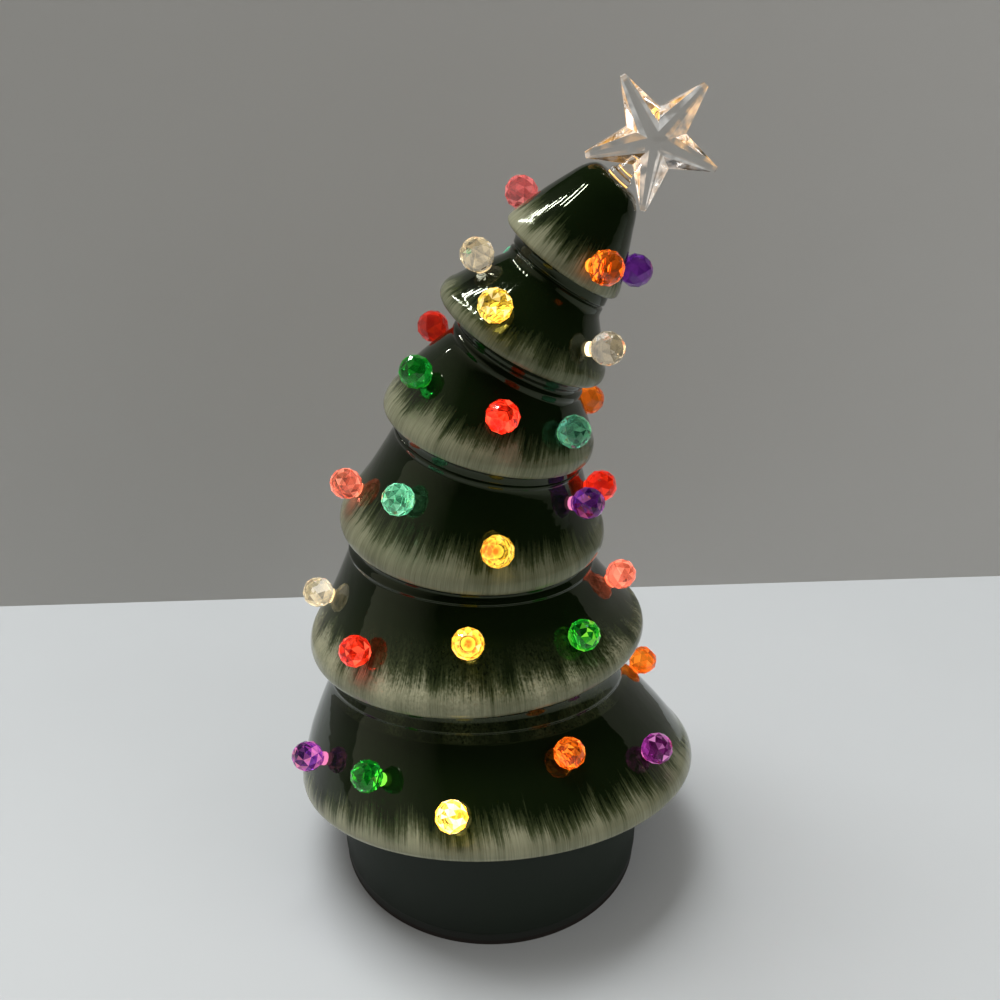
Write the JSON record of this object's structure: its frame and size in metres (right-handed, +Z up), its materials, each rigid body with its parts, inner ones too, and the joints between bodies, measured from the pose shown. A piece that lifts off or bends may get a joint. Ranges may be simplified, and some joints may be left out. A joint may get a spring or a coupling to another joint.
{
  "type": "lighted ceramic christmas tree",
  "caption": "Leaning tiered ceramic tree with dry-brushed lips, faceted lamp bulbs and a clear push-in star, bonded on a matte battery drum with a hinged cell door and slide switch.",
  "frame": {"origin": "centre of the drum's foot on the table plane", "axes": "+Z up, the tip leans towards +X, the star faces -Y"},
  "size_m": [0.1567, 0.159, 0.2966],
  "materials": {
    "glaze_green": "glossy dark green glaze with dry-brushed pale edges",
    "clear_plastic": "clear moulded plastic",
    "bond_rubber": "cured bonding ring",
    "drum_plastic": "matte",
    "foot_rubber": "matte",
    "steel": "zinc plated",
    "cell_jacket": "plain jacket",
    "spring_steel": "nickel plated",
    "switch_plastic": "matte",
    "post_plastic": "matte",
    "board": "white solder mask",
    "lamp": "warm white lamp",
    "wire": "insulated wire",
    "bulb_pink": "translucent faceted plastic lit from inside",
    "bulb_orange": "translucent faceted plastic lit from inside",
    "bulb_purple": "translucent faceted plastic lit from inside",
    "bulb_green": "translucent faceted plastic lit from inside",
    "bulb_clear": "translucent faceted plastic lit from inside",
    "bulb_yellow": "translucent faceted plastic lit from inside",
    "bulb_red": "translucent faceted plastic lit from inside",
    "bulb_teal": "translucent faceted plastic lit from inside",
    "bulb_coral": "translucent faceted plastic lit from inside",
    "bulb_magenta": "translucent faceted plastic lit from inside"
  },
  "bodies": {
    "tree": {"base_floor": "drum_plastic", "base_housing": "drum_plastic", "battery_cells": "cell_jacket", "bulb_t1_1_pink": "bulb_pink", "bulb_t1_2_orange": "bulb_orange", "bulb_t1_3_purple": "bulb_purple", "bulb_t1_4_green": "bulb_green", "bulb_t2_1_clear": "bulb_clear", "bulb_t2_2_yellow": "bulb_yellow", "bulb_t2_3_clear": "bulb_clear", "bulb_t2_4_red": "bulb_red", "bulb_t2_5_teal": "bulb_teal", "bulb_t3_1_red": "bulb_red", "bulb_t3_2_green": "bulb_green", "bulb_t3_3_red": "bulb_red", "bulb_t3_4_teal": "bulb_teal", "bulb_t3_5_orange": "bulb_orange", "bulb_t3_6_yellow": "bulb_yellow", "bulb_t4_1_coral": "bulb_coral", "bulb_t4_2_teal": "bulb_teal", "bulb_t4_3_yellow": "bulb_yellow", "bulb_t4_4_purple": "bulb_purple", "bulb_t4_5_red": "bulb_red", "bulb_t4_6_green": "bulb_green", "bulb_t4_7_orange": "bulb_orange", "bulb_t5_1_clear": "bulb_clear", "bulb_t5_2_red": "bulb_red", "bulb_t5_3_yellow": "bulb_yellow", "bulb_t5_4_green": "bulb_green", "bulb_t5_5_coral": "bulb_coral", "bulb_t5_6_purple": "bulb_purple", "bulb_t5_7_teal": "bulb_teal", "bulb_t5_8_yellow": "bulb_yellow", "bulb_t6_10_teal": "bulb_teal", "bulb_t6_1_purple": "bulb_purple", "bulb_t6_2_green": "bulb_green", "bulb_t6_3_yellow": "bulb_yellow", "bulb_t6_4_orange": "bulb_orange", "bulb_t6_5_magenta": "bulb_magenta", "bulb_t6_6_orange": "bulb_orange", "bulb_t6_7_clear": "bulb_clear", "bulb_t6_8_red": "bulb_red", "bulb_t6_9_green": "bulb_green", "contact_plates": "spring_steel", "contact_springs": "spring_steel", "foot_ring": "foot_rubber", "housing_screws": "steel", "lead_wires": "wire", "led_board": "board", "led_lamps": "lamp", "led_post": "post_plastic", "seat_gasket": "bond_rubber", "switch_housing": "switch_plastic", "tree_shell": "glaze_green"},
    "star": {"star_topper": "clear_plastic"},
    "switch": {"switch_knob": "switch_plastic"},
    "door": {"battery_door": "drum_plastic"}
  },
  "joints": [
    {"name": "star_lift", "type": "slide", "parent": "tree", "child": "star", "axis": [0.6691, 0, 0.7431], "range_m": [0, 0.016]},
    {"name": "switch_slide", "type": "slide", "parent": "tree", "child": "switch", "axis": [1, 0, 0], "range_m": [0, 0.004]},
    {"name": "battery_door_hinge", "type": "hinge", "parent": "tree", "child": "door", "pos_m": [0, 0.02185, 0.0044], "axis": [1, 0, 0], "range_deg": [0, 85]}
  ]
}
